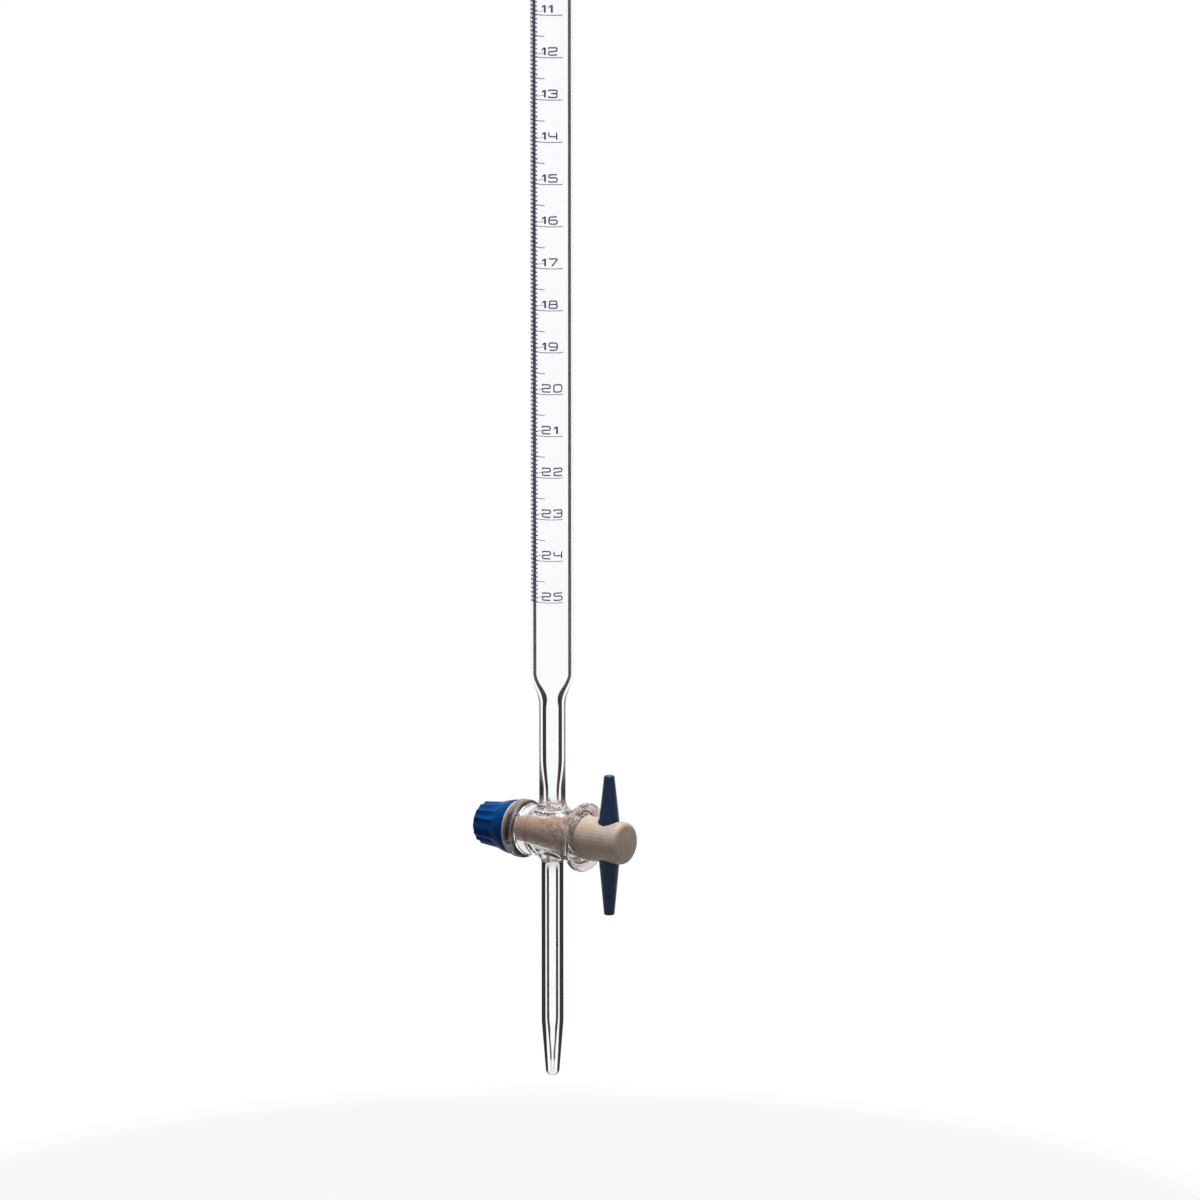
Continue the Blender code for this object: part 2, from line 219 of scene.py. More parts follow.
def piece(name, mesh, *finishes):
    """An object at the origin that shows a mesh with these finishes."""
    made = bpy.data.objects.new(name, mesh)
    bpy.context.scene.collection.objects.link(made)
    for finish in finishes:
        made.data.materials.append(finish)
    return made


def mesh_of(made, name):
    """The mesh of a bmesh, which is freed."""
    mesh = bpy.data.meshes.new(name)
    made.to_mesh(mesh)
    made.free()
    return mesh


def spin(made, geometry, angle, steps, **options):
    """Spins part of a bmesh about Z."""
    bmesh.ops.spin(made, geom=geometry, cent=(0, 0, 0), axis=(0, 0, 1), angle=angle, steps=steps, **options)


def spun(name, outline):
    """A closed skin: an outline of (radius, height) points, spun a full turn about Z."""
    made = bmesh.new()
    points = [made.verts.new((radius, 0, height)) for radius, height in outline]
    edges = [made.edges.new(pair) for pair in zip(points, points[1:])]
    spin(made, points + edges, 2 * math.pi, ROUND_STEPS, use_merge=True)
    bmesh.ops.remove_doubles(made, verts=made.verts[:], dist=WELD_DISTANCE)
    bmesh.ops.recalc_face_normals(made, faces=made.faces[:])
    return mesh_of(made, name)


def laid_along_x(mesh):
    """Turns a mesh that was spun about Z so that its top points along +X, on the plug's axis."""
    mesh.transform(Matrix.Translation((0, 0, PLUG_Z)) @ Matrix.Rotation(math.pi / 2, 4, "Y"))
    return mesh


def settle(made):
    """Makes an object's modifiers part of its mesh."""
    bpy.context.view_layer.update()
    graph = bpy.context.evaluated_depsgraph_get()
    mesh = bpy.data.meshes.new_from_object(made.evaluated_get(graph))
    made.modifiers.clear()
    made.data = mesh


def cut(made, operation, mesh):
    """Joins or cuts an object with a mesh, keeping each one's finish."""
    other = piece(mesh.name, mesh)
    modifier = made.modifiers.new(mesh.name, "BOOLEAN")
    modifier.operation = operation
    modifier.object = other
    modifier.solver = "EXACT"
    modifier.material_mode = "TRANSFER"
    settle(made)
    bpy.data.objects.remove(other)


# Shader nodes

def tree_of(owner):
    """The node tree of a material or a world, emptied of what it starts with."""
    owner.use_nodes = True
    owner.node_tree.nodes.clear()
    return owner.node_tree


def feed(tree, socket, value):
    """Links a socket to another one, or sets it to a plain number, vector or colour."""
    if isinstance(value, bpy.types.NodeSocket):
        tree.links.new(value, socket)
    elif socket.type == "RGBA":
        socket.default_value = (*value, 1)
    else:
        socket.default_value = value


def node(tree, kind, **inputs):
    """A shader node with its inputs fed by name, an underscore standing for a space."""
    made = tree.nodes.new("ShaderNode" + kind)
    for name, value in inputs.items():
        feed(tree, made.inputs[name.replace("_", " ")], value)
    return made


def math_node(tree, operation, first, second):
    """A Math node fed by sockets or plain numbers."""
    made = node(tree, "Math")
    made.operation = operation
    feed(tree, made.inputs[0], first)
    feed(tree, made.inputs[1], second)
    return made.outputs[0]


def inverse(tree, value):
    """1 less a value."""
    return math_node(tree, "SUBTRACT", 1.0, value)


def product(tree, first, *others):
    """Values multiplied in the order given."""
    for value in others:
        first = math_node(tree, "MULTIPLY", first, value)
    return first


def rise(tree, value, start, width):
    """0 below a start and 1 above it, with a soft step of this width."""
    made = node(
        tree,
        "MapRange",
        Value=value,
        From_Min=math_node(tree, "SUBTRACT", start, width / 2),
        From_Max=math_node(tree, "ADD", start, width / 2),
    )
    made.interpolation_type = "SMOOTHSTEP"
    return made.outputs["Result"]


def strip(tree, value, ends, widths):
    """1 between two ends and 0 outside them, with a soft step of its own width at each end."""
    past_first = rise(tree, value, ends[0], widths[0])
    past_second = rise(tree, value, ends[1], widths[1])
    return product(tree, past_first, inverse(tree, past_second))


def attribute(tree, name):
    """The outputs that give a mesh attribute."""
    made = node(tree, "Attribute")
    made.attribute_name = name
    return made.outputs


def vector_attribute(tree, name):
    """The three numbers of a mesh attribute, as sockets."""
    return node(tree, "SeparateXYZ", Vector=attribute(tree, name)["Vector"]).outputs


def turned_away(tree):
    """How far a surface faces away, from 0 to 1, as facing() gives it."""
    return node(tree, "LayerWeight", Blend=0.5).outputs["Facing"]


def front_side(tree):
    """1 on the front of a face and 0 on its back."""
    return inverse(tree, node(tree, "NewGeometry").outputs["Backfacing"])


def colour_mix(tree, factor, first, second):
    """A blend of two colours, each a socket or plain."""
    made = node(tree, "Mix")
    made.data_type = "RGBA"
    for name, value in (("Factor", factor), ("A", first), ("B", second)):
        feed(tree, made.inputs[name], value)
    return made.outputs["Result"]


def two_tones(tree, value, low, high):
    """A colour between two tones, each given as (value at which it is reached, colour)."""
    made = node(tree, "ValToRGB", Fac=value)
    for i, (position, colour) in enumerate((low, high)):
        made.color_ramp.elements[i].position = position
        made.color_ramp.elements[i].color = (*colour, 1)
    return made.outputs["Color"]


def shader_mix(tree, factor, first, second):
    """A blend of two shaders."""
    made = node(tree, "MixShader")
    for socket, value in zip(made.inputs, (factor, first, second)):
        feed(tree, socket, value)
    return made.outputs[0]


def shaded(tree, surface, factor, colour):
    """Covers a shader with a matt colour by a factor."""
    return shader_mix(tree, factor, surface, node(tree, "BsdfDiffuse", Color=colour).outputs[0])


# Outlines of the glass

def tube_and_jet_outside():
    outline = [(0, RIM_Z)]
    outline += arc((BEAD_RADIUS - BEAD_ROUND, RIM_Z - BEAD_DROP), (BEAD_ROUND, BEAD_DROP), 90, 0, BEAD_STEPS)
    outline += ease((BEAD_RADIUS, RIM_Z - BEAD_DROP), (TUBE_RADIUS, RIM_Z - BEAD_HEIGHT), BEAD_STEPS)[1:]
    outline += ease((TUBE_RADIUS, SHOULDER_TOP), (NECK_RADIUS, SHOULDER_BOTTOM), SHOULDER_STEPS)
    neck_centre = (NECK_RADIUS + NECK_FILLET, PLUG_Z + BARREL_RADIUS + FOOT_RISE * NECK_FILLET_HEIGHT)
    foot = arc(neck_centre, (NECK_FILLET, NECK_FILLET_HEIGHT), 180, 180 + FOOT_ANGLE, FOOT_STEPS)
    outline += foot
    outline.append((foot[-1][0], PLUG_Z + BARREL_RADIUS / 2))
    jet_centre = (JET_RADIUS + JET_FILLET, PLUG_Z - BARREL_RADIUS - FOOT_RISE * JET_FILLET)
    foot = arc(jet_centre, (JET_FILLET, JET_FILLET), 180 - FOOT_ANGLE, 180, FOOT_STEPS)
    outline.append((foot[0][0], PLUG_Z - BARREL_RADIUS / 2))
    outline += foot
    outline.append((JET_RADIUS, JET_TAPER_TOP))
    round_centre = (TIP_FLAT_RADIUS, TIP_Z + TIP_ROUND_HEIGHT)
    outline += arc(round_centre, (TIP_RADIUS - TIP_FLAT_RADIUS, TIP_ROUND_HEIGHT), 0, -90, TIP_STEPS)
    outline.append((0, TIP_Z))
    return fine(outline, SHOULDER_BOTTOM + MM, TIP_Z + TIP_ROUND_HEIGHT, LOOK_STEP)


def liquid_way():
    cone_top = CAPILLARY_TOP + BORE_CONE_HEIGHT
    outline = [(0, RIM_Z + CUT_OVERRUN), (MOUTH_RADIUS, RIM_Z + CUT_OVERRUN)]
    outline += ease((MOUTH_RADIUS, RIM_Z), (BORE_RADIUS, RIM_Z - BEAD_HEIGHT), BEAD_STEPS)
    outline += ease((BORE_RADIUS, SHOULDER_TOP), (NECK_BORE_RADIUS, SHOULDER_BOTTOM), SHOULDER_STEPS)
    outline += ease((NECK_BORE_RADIUS, PORT_TOP + PORT_CONE_HEIGHT), (PORT_RADIUS, PORT_TOP), PORT_STEPS)
    outline.append((PORT_RADIUS, PLUG_Z))
    outline.append((JET_BORE_RADIUS, PLUG_Z))
    outline += ease((JET_BORE_RADIUS, cone_top), (CAPILLARY_RADIUS, CAPILLARY_TOP), JET_CONE_STEPS)
    outline.append((CAPILLARY_RADIUS, TIP_Z - CUT_OVERRUN))
    outline.append((0, TIP_Z - CUT_OVERRUN))
    return outline


def barrel_outside():
    edge = (FLANGE_EDGE, FLANGE_EDGE)
    handle_flat = HANDLE_FLANGE_RADIUS - FLANGE_EDGE
    handle_back = HANDLE_END - HANDLE_FLANGE_THICKNESS
    nut_flat = NUT_FLANGE_RADIUS - FLANGE_EDGE
    nut_back = NUT_END + NUT_FLANGE_THICKNESS
    outline = [(0, HANDLE_END)]
    outline += arc((handle_flat, HANDLE_END - FLANGE_EDGE), edge, 90, 0, FLANGE_STEPS)
    outline += arc((handle_flat, handle_back + FLANGE_EDGE), edge, 0, -90, FLANGE_STEPS)
    flare = (handle_flat - BARREL_RADIUS, HANDLE_FLANGE_FLARE)
    outline += arc((handle_flat, handle_back - HANDLE_FLANGE_FLARE), flare, 90, 180, FLARE_STEPS)[1:]
    flare = (nut_flat - BARREL_RADIUS, NUT_FLANGE_FLARE)
    outline += arc((nut_flat, nut_back + NUT_FLANGE_FLARE), flare, 180, 270, FLANGE_STEPS)
    outline += arc((nut_flat, nut_back - FLANGE_EDGE), edge, 90, 0, FLANGE_STEPS)[1:]
    outline += arc((nut_flat, NUT_END + FLANGE_EDGE), edge, 0, -90, FLANGE_STEPS)
    outline.append((0, NUT_END))
    return outline


def seat_bore():
    high = HANDLE_END + CUT_OVERRUN
    low = NUT_END - CUT_OVERRUN
    large = SEAT_LARGE_RADIUS + CUT_OVERRUN * SEAT_TAPER
    small = SEAT_LARGE_RADIUS - (HANDLE_END - low) * SEAT_TAPER
    return [(0, high), (large, high), (small, low), (0, low)]


# Finishes of the glass

# Painted shade: the dark bands stand in for the dark sides that a round wall bends into view
PAINTED_BAND_SHADE = (0.16, 0.13, 0.128)
CLEAR_TINT = (0.975, 0.98, 0.985)
# Painted reflection: a rosy tint on the barrel and near the rim, for warm reflections in the glass
ROSY_TINT = (0.94, 0.865, 0.84)
GLOSS_TINT = (0.35, 0.35, 0.35)
LAMP_TINT = (0.94, 0.945, 0.95)

# Widths of the soft steps where the inner band starts and stops, and where the edge starts
INNER_WIDTHS = (0.02, 0.04)
EDGE_WIDTH = 0.05

# Painted refraction and glints in patches at the barrel's joints, and of the plug seen through the barrel,
# each with a dark and a pale colour
PATCH_STEP = (0.5, 0.22)
PAINTED_REFRACTION_COLOURS = ((0.40, 0.31, 0.285), (0.97, 0.90, 0.88))
PLUG_COLOURS = ((0.24, 0.18, 0.145), (0.62, 0.50, 0.44))
PALE_PATCH_THINS = 0.5


def clear_shader(tree):
    return node(
        tree,
        "BsdfPrincipled",
        Base_Color=CLEAR_TINT,
        Roughness=0.0,
        IOR=1.47,
        Transmission_Weight=1.0,
        Specular_Tint=GLOSS_TINT,
    )


def let_lamps_through(tree, surface):
    """Lamps and the light between pieces pass the glass straight, so what it holds is lit."""
    path = node(tree, "LightPath")
    for ray in ("Is Diffuse Ray", "Is Shadow Ray"):
        gap = node(tree, "BsdfTransparent", Color=LAMP_TINT)
        surface = shader_mix(tree, path.outputs[ray], surface, gap.outputs[0])
    node(tree, "OutputMaterial", Surface=surface)


def banded_glass():
    """Clear glass with painted shade where a round wall bends light to the side, and a veil of painted
    refraction as its attributes say.
    """
    made = bpy.data.materials.new("clear_glass")
    tree = tree_of(made)
    turn = turned_away(tree)
    front = front_side(tree)
    dark_from, clear_from, edge_from = vector_attribute(tree, "band_places")
    inner_depth, edge_depth, rosy = vector_attribute(tree, "band_depths")
    inner = product(tree, strip(tree, turn, (dark_from, clear_from), INNER_WIDTHS), inner_depth)
    edge = product(tree, rise(tree, turn, edge_from, EDGE_WIDTH), edge_depth)
    # Painted shade of the bands, by how far the surface faces away
    dark = product(tree, math_node(tree, "MAXIMUM", inner, edge), front)

    place = node(tree, "TexCoord").outputs["Object"]
    blotch = node(tree, "TexNoise", Vector=place, Scale=420, Detail=3, Distortion=1.2)
    patch = rise(tree, blotch.outputs["Fac"], *PATCH_STEP)
    # Painted refraction and glints: a mottled veil where the attribute says
    veil = product(tree, attribute(tree, "painted_refraction")["Fac"], front)
    thinned = inverse(tree, product(tree, patch, PALE_PATCH_THINS))
    # Painted refraction of the plug, thinned in the pale patches
    plug_cover = product(tree, attribute(tree, "plug_seen")["Fac"], front, thinned)

    clear = clear_shader(tree)
    feed(tree, clear.inputs["Base Color"], colour_mix(tree, rosy, CLEAR_TINT, ROSY_TINT))
    surface = shaded(tree, clear.outputs[0], veil, colour_mix(tree, patch, *PAINTED_REFRACTION_COLOURS))
    surface = shaded(tree, surface, plug_cover, colour_mix(tree, patch, *PLUG_COLOURS))
    let_lamps_through(tree, shaded(tree, surface, dark, PAINTED_BAND_SHADE))
    return made


def bore_glass():
    """The same glass on the walls of a bore, where nothing darkens."""
    made = bpy.data.materials.new("clear_glass_bore")
    tree = tree_of(made)
    let_lamps_through(tree, clear_shader(tree).outputs[0])
    return made


# Nut flange: its painted dark streak and thin dark line along X, each with the width of its soft ends, and
# its cover of painted refraction
FLANGE_STREAK = (NUT_END + 1.1 * MM, NUT_END + 2.5 * MM)
STREAK_WIDTH = 0.5 * MM
STREAK_TURNS = (0.42, 0.4)
FLANGE_LINE = (NUT_END + 3.1 * MM, NUT_END + 3.45 * MM)
LINE_WIDTH = 0.2 * MM
LINE_DEPTH = 0.75
FLANGE_COVER = 0.88
COVER_END = (NUT_END + 3.55 * MM, 0.2 * MM)
FLANGE_REFRACTED_COLOURS = ((0.27, 0.225, 0.195), (0.17, 0.145, 0.13))
FLANGE_PAINTED_SHADE = (0.045, 0.038, 0.05)


def flange_glass():
    """The thick nut flange, painted brown-grey for the nut and the washer seen in it, with a painted dark
    streak of shade and a thin dark line.
    """
    made = bpy.data.materials.new("clear_glass_flange")
    tree = tree_of(made)
    place = node(tree, "TexCoord").outputs["Object"]
    along = node(tree, "SeparateXYZ", Vector=place).outputs["X"]
    frontal = inverse(tree, rise(tree, turned_away(tree), *STREAK_TURNS))
    streak = product(tree, strip(tree, along, FLANGE_STREAK, (STREAK_WIDTH, STREAK_WIDTH)), frontal)
    line = product(tree, strip(tree, along, FLANGE_LINE, (LINE_WIDTH, LINE_WIDTH)), LINE_DEPTH)
    grain = node(tree, "TexNoise", Vector=place, Scale=1500)
    pale = colour_mix(tree, grain.outputs["Fac"], *FLANGE_REFRACTED_COLOURS)
    colour = colour_mix(tree, math_node(tree, "MAXIMUM", streak, line), pale, FLANGE_PAINTED_SHADE)
    body = math_node(tree, "SUBTRACT", FLANGE_COVER, rise(tree, along, *COVER_END))
    cover = product(tree, math_node(tree, "MAXIMUM", body, 0.0), front_side(tree))
    let_lamps_through(tree, shaded(tree, clear_shader(tree).outputs[0], cover, colour))
    return made


# What the glass shows at each vertex

# From the thickest wall to the thinnest: the bore's share of the outside, where the painted shade turns dark,
# clear and dark again as shares of its radius, and how dark the painted inner band and edge are
WALLS = (
    (0.15, (0.335, 0.435, 0.69), (1.0, 1.0)),
    (0.25, (0.385, 0.49, 0.68), (1.0, 1.0)),
    (0.36, (0.375, 0.55, 0.665), (1.0, 1.0)),
    (0.59, (0.50, 0.75, 0.89), (1.0, 0.8)),
    (0.80, (0.76, 0.90, 0.985), (0.94, 0.2)),
)
BEAD_BANDS = (0.80, 0.93, 0.95)
BEAD_EDGE = 0.5
BARREL_BANDS = (0.80, 0.93, 0.97)
BARREL_EDGE = 0.22

# How far a vertex may lie off the tube, the barrel or the flanges and still belong to them
TUBE_MARGIN = 0.05 * MM
BARREL_MARGIN = 0.1 * MM
FLANGE_MARGIN = 1.0 * MM

# Where a look begins and the length over which it comes in: above the barrel, below it, above the tip
NECK_BANDS = (1.2 * MM, 2.4 * MM)
JET_BANDS = (0.3 * MM, 1.0 * MM)
JET_LINES = (1.4 * MM, 1.2 * MM)
CAPILLARY_LINES = (CAPILLARY_TOP, 0.8 * MM)
CAPILLARY_LINES_LEAST = 0.35
TIP_EDGE = (0.5 * MM, 1.1 * MM)
TIP_EDGE_LEAST = 0.25
BEAD_LOOK_END = RIM_Z - 2.3 * MM
BEAD_LOOK_FADE = 0.5 * MM

# Veils of painted refraction and glints on the barrel, on its joint with the neck and the jet, and on the
# handle flange's flare
BARREL_VEIL = 0.04
JOINT_VEIL = 0.45
JOINT_HEIGHT = 4.2 * MM
JOINT_LENGTH = 4.5 * MM
FLARE_VEIL = 0.22
FLARE_START = (HANDLE_END - 5.6 * MM, 1.2 * MM)

# The plug's colour painted on the flare and the handle flange's rim, standing in for its refraction
PLUG_IN_FLARE = 0.72
PLUG_HALF_HEIGHT = 7.2 * MM
PLUG_FADE = 1.6 * MM
RIM_FROM = 8.6 * MM
RIM_START = (9.3 * MM, 0.5 * MM)
PLUG_IN_UPPER_RIM = 0.9
PLUG_IN_LOWER_RIM = 0.25

# Slots of the glass's finishes, how far its nut flange reaches and the angle past which an edge shows sharp
OUTSIDE_SLOT = 0
FLANGE_SLOT = 2
NUT_FLANGE_BACK = NUT_END + 4.4 * MM
SHARP_ANGLE = math.radians(32)


def wall_look(bore_share):
    """Band places and depths for a wall, blended between the walls listed above."""
    share = min(max(bore_share, WALLS[0][0]), WALLS[-1][0])
    for (low, *low_look), (high, *high_look) in zip(WALLS, WALLS[1:]):
        if share <= high:
            blend = (share - low) / (high - low)
            return [[a + (b - a) * blend for a, b in zip(*pair)] for pair in zip(low_look, high_look)]


def facing(place):
    """How far a round piece's surface faces away at this share of its radius, from 0 to 1."""
    return 1 - math.sqrt(1 - place * place)


def on_barrel(x, y, z, tube_radius):
    """Whether a vertex of the glass belongs to the barrel or its flanges."""
    beside_tube = math.hypot(x, y) > tube_radius + TUBE_MARGIN
    if beside_tube and abs(z - PLUG_Z) < HANDLE_FLANGE_RADIUS + FLANGE_MARGIN:
        return True
    return math.hypot(y, z - PLUG_Z) < BARREL_RADIUS + BARREL_MARGIN


def joint_share(x, z):
    """How near a vertex is to where the neck or the jet meets the barrel, from 0 to 1."""
    by_height = max(1 - abs(abs(z - PLUG_Z) - BARREL_RADIUS) / JOINT_HEIGHT, 0.0)
    by_length = max(1 - max(abs(x) - NECK_RADIUS, 0) / JOINT_LENGTH, 0.0)
    return by_height * by_length


def plug_share(y, z, flare):
    """How much painted plug colour shows in the flare, or in the rim of the handle flange."""
    from_plug = math.hypot(y, z - PLUG_Z)
    if flare > 0 and from_plug > RIM_FROM:
        return (PLUG_IN_UPPER_RIM if z > PLUG_Z else PLUG_IN_LOWER_RIM) * ramp(from_plug, *RIM_START)
    return PLUG_IN_FLARE * flare * ramp(PLUG_HALF_HEIGHT - abs(z - PLUG_Z), 0.0, PLUG_FADE)


def glass_look(vertex, tube_outline, bore_outline):
    """Band places and depths of the painted shade at a vertex of the glass, its veil of painted refraction
    and how much painted plug colour it shows.
    """
    x, y, z = vertex.co
    tube_radius = radius_at(tube_outline, z)
    places, (inner_depth, edge_depth) = wall_look(radius_at(bore_outline, z) / max(tube_radius, MM))
    above_barrel = z - PLUG_Z - BARREL_RADIUS
    below_barrel = PLUG_Z - BARREL_RADIUS - z
    off_barrel = ramp(below_barrel, *JET_BANDS) if z < PLUG_Z else ramp(above_barrel, *NECK_BANDS)
    if on_barrel(x, y, z, tube_radius):
        off_barrel = 0.0
    below_bead = ramp(BEAD_LOOK_END - z, 0.0, BEAD_LOOK_FADE)

    inner = inner_depth * off_barrel**2 * below_bead
    if z < PLUG_Z:
        inner *= ramp(below_barrel, *JET_LINES)
        inner *= CAPILLARY_LINES_LEAST + (1 - CAPILLARY_LINES_LEAST) * ramp(z, *CAPILLARY_LINES)
    edge = BARREL_EDGE + (edge_depth - BARREL_EDGE) * off_barrel
    edge *= TIP_EDGE_LEAST + (1 - TIP_EDGE_LEAST) * ramp(z - TIP_Z, *TIP_EDGE)
    if off_barrel == 0.0:
        places = BARREL_BANDS
    if below_bead < 1:
        places = BEAD_BANDS
        edge = BEAD_EDGE
    # Painted reflection: the rosy tint on the barrel and near the rim
    rosy = 1 - off_barrel * below_bead

    flare = ramp(x, *FLARE_START) if off_barrel == 0.0 else 0.0
    painted_refraction = max(BARREL_VEIL * (1 - off_barrel) + JOINT_VEIL * joint_share(x, z), FLARE_VEIL * flare)
    return [facing(place) for place in places], (inner, edge, rosy), painted_refraction, plug_share(y, z, flare)


def burette_glass():
    outside = banded_glass()
    inside = bore_glass()
    tube_outline = tube_and_jet_outside()
    bore_outline = liquid_way()
    made = piece("burette_glass", spun("burette_glass", tube_outline), outside)
    for operation, form, finish in (
        ("UNION", laid_along_x(spun("barrel_form", barrel_outside())), outside),
        ("DIFFERENCE", spun("bore_form", bore_outline), inside),
        ("DIFFERENCE", laid_along_x(spun("seat_form", seat_bore())), inside),
    ):
        form.materials.append(finish)
        cut(made, operation, form)
    mesh = made.data
    mesh.materials.append(flange_glass())
    for face in mesh.polygons:
        x, y, z = face.center
        on_outside = face.material_index == OUTSIDE_SLOT and math.hypot(y, z - PLUG_Z) > BARREL_RADIUS
        if on_outside and x < NUT_FLANGE_BACK:
            face.material_index = FLANGE_SLOT
    mesh.shade_smooth()
    mesh.set_sharp_from_angle(angle=SHARP_ANGLE)
    looks = list(zip(*(glass_look(vertex, tube_outline, bore_outline) for vertex in mesh.vertices)))
    for name, values in zip(("band_places", "band_depths"), looks):
        layer = mesh.attributes.new(name, "FLOAT_VECTOR", "POINT")
        layer.data.foreach_set("vector", [number for vector in values for number in vector])
    for name, values in zip(("painted_refraction", "plug_seen"), looks[2:]):
        layer = mesh.attributes.new(name, "FLOAT", "POINT")
        layer.data.foreach_set("value", values)
    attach(made, "glass")
    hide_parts("glass_body")


# Enamel scale

ENAMEL_TONES = ((0.3, (0.045, 0.042, 0.17)), (0.75, (0.095, 0.09, 0.30)))


def enamel():
    made = bpy.data.materials.new("blue_enamel")
    tree = tree_of(made)
    place = node(tree, "TexCoord").outputs["Object"]
    grain = node(tree, "TexNoise", Vector=place, Scale=2600, Detail=3)
    colour = two_tones(tree, grain.outputs["Fac"], *ENAMEL_TONES)
    shader = node(tree, "BsdfPrincipled", Base_Color=colour, Roughness=0.5)
    node(tree, "OutputMaterial", Surface=shader.outputs[0])
    return made


def line_form(turns, height):
    """One enamel line: a small upright face spun part of the way round the tube."""
    start, end = (math.radians(turn) for turn in turns)
    made = bmesh.new()
    low = TUBE_RADIUS - ENAMEL_DEPTH
    high = TUBE_RADIUS + ENAMEL_PROUD
    half = height / 2
    section = ((low, 0, -half), (high, 0, -half), (high, 0, half), (low, 0, half))
    corners = [made.verts.new(co) for co in section]
    face = made.faces.new(corners)
    bmesh.ops.rotate(made, verts=corners, cent=(0, 0, 0), matrix=Matrix.Rotation(SCALE_TURN + start, 3, "Z"))
    steps = max(round(math.degrees(end - start) / LINE_STEP_DEGREES), LEAST_LINE_STEPS)
    spin(made, [face], end - start, steps)
    bmesh.ops.recalc_face_normals(made, faces=made.faces[:])
    return mesh_of(made, "line_form")


def line_ends(turns):
    """The two thin ends that draw a short mark out to a longer line."""
    both = ((turns[0], SHORT_LINE[0]), (SHORT_LINE[1], turns[1]))
    return [line_form(end, LINE_HEIGHT) for end in both]


def scale_lines(finish):
    """The scale: ten short marks to a millilitre, drawn out in a thinner line at halves and wholes."""
    mark = line_form(SHORT_LINE, MARK_HEIGHT)
    half_ends = line_ends(MIDDLE_LINE)
    whole_ends = line_ends(LONG_LINE)
    made = bmesh.new()
    for tenth in range(LAST_ML * 10 + 1):
        ends = whole_ends if tenth % 10 == 0 else half_ends if tenth % 5 == 0 else []
        before = len(made.verts)
        for form in [mark, *ends]:
            made.from_mesh(form)
        made.verts.ensure_lookup_table()
        bmesh.ops.translate(made, verts=made.verts[before:], vec=(0, 0, ZERO_Z - tenth * ML_HEIGHT / 10))
    lines = piece("scale_lines", mesh_of(made, "scale_lines"), finish)
    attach(lines, "glass")


# Strokes of each figure on a field one wide and one high, with a closed stroke repeating its first point
FIGURES = {
    "0": [[(0, 0.5), (0, 0), (1, 0), (1, 1), (0, 1), (0, 0.5)]],
    "1": [[(0, 0.68), (0.34, 0.99)], [(0.34, 1), (0.34, 0)], [(0.42, 1), (0.42, 0)]],
    "2": [[(0, 0.8), (0, 1), (1, 1), (1, 0.52), (0, 0.46), (0, 0), (1, 0)]],
    "3": [
        [(0, 0.82), (0, 1), (1, 1), (1, 0.53), (0.3, 0.53)],
        [(0.5, 0.53), (1, 0.53), (1, 0), (0, 0), (0, 0.18)],
    ],
    "4": [[(0, 1), (0, 0.42), (0.95, 0.42)], [(0.95, 1), (0.95, 0)]],
    "5": [[(1, 1), (0, 1), (0, 0.58), (1, 0.58), (1, 0), (0, 0), (0, 0.16)]],
    "6": [[(0.95, 1), (0, 1), (0, 0), (1, 0), (1, 0.56), (0, 0.56)]],
    "7": [[(0, 1), (1, 1), (1, 0.86), (0.35, 0)]],
    "8": [
        [(0.5, 0.53), (0.06, 0.53), (0.06, 1), (0.94, 1), (0.94, 0.53), (0.5, 0.53)],
        [(0.5, 0.53), (0, 0.53), (0, 0), (1, 0), (1, 0.53), (0.5, 0.53)],
    ],
    "9": [[(0.05, 0), (1, 0), (1, 1), (0, 1), (0, 0.44), (1, 0.44)]],
}
FIELD_SHARES = {"1": 0.42}
CORNER_RADIUS = 0.33 * NUMERAL_HEIGHT


def rounded(points):
    """A path whose corners are arcs, with points close enough together to follow the tube."""
    path = [Vector(points[0])]
    for before, corner, after in zip(points, points[1:], points[2:]):
        corner = Vector(corner)
        back = Vector(before) - corner
        forth = Vector(after) - corner
        reach = min(CORNER_RADIUS, back.length / 2, forth.length / 2)
        start = corner + back.normalized() * reach
        end = corner + forth.normalized() * reach
        for i in range(CORNER_STEPS + 1):
            share = i / CORNER_STEPS
            path.append(start * (1 - share) ** 2 + corner * 2 * share * (1 - share) + end * share**2)
    path.append(Vector(points[-1]))
    dense = [path[0]]
    for low, high in zip(path, path[1:]):
        count = max(math.ceil((high - low).length / STROKE_STEP), 1)
        dense += [low.lerp(high, (i + 1) / count) for i in range(count)]
    return dense


def number_strokes(number):
    """A flat number, its lower left corner at the origin, as a mesh of round strokes."""
    curve = bpy.data.curves.new("figure_strokes", "CURVE")
    curve.dimensions = "3D"
    curve.bevel_depth = NUMERAL_STROKE / 2
    curve.bevel_resolution = 1
    curve.use_fill_caps = True
    left = NUMERAL_STROKE / 2
    field = (NUMERAL_WIDTH - NUMERAL_STROKE, NUMERAL_HEIGHT - NUMERAL_STROKE)
    for figure in str(number):
        for points in FIGURES[figure]:
            path = rounded([(left + u * field[0], NUMERAL_STROKE / 2 + v * field[1]) for u, v in points])
            spline = curve.splines.new("POLY")
            spline.points.add(len(path) - 1)
            for point, place in zip(spline.points, path):
                point.co = (place.x, place.y, 0, 1)
        left += FIELD_SHARES.get(figure, 1.0) * field[0] + NUMERAL_SPACING
    holder = bpy.data.objects.new("figure_strokes", curve)
    bpy.context.scene.collection.objects.link(holder)
    bpy.context.view_layer.update()
    mesh = bpy.data.meshes.new_from_object(holder.evaluated_get(bpy.context.evaluated_depsgraph_get()))
    bpy.data.objects.remove(holder)
    bpy.data.curves.remove(curve)
    return mesh


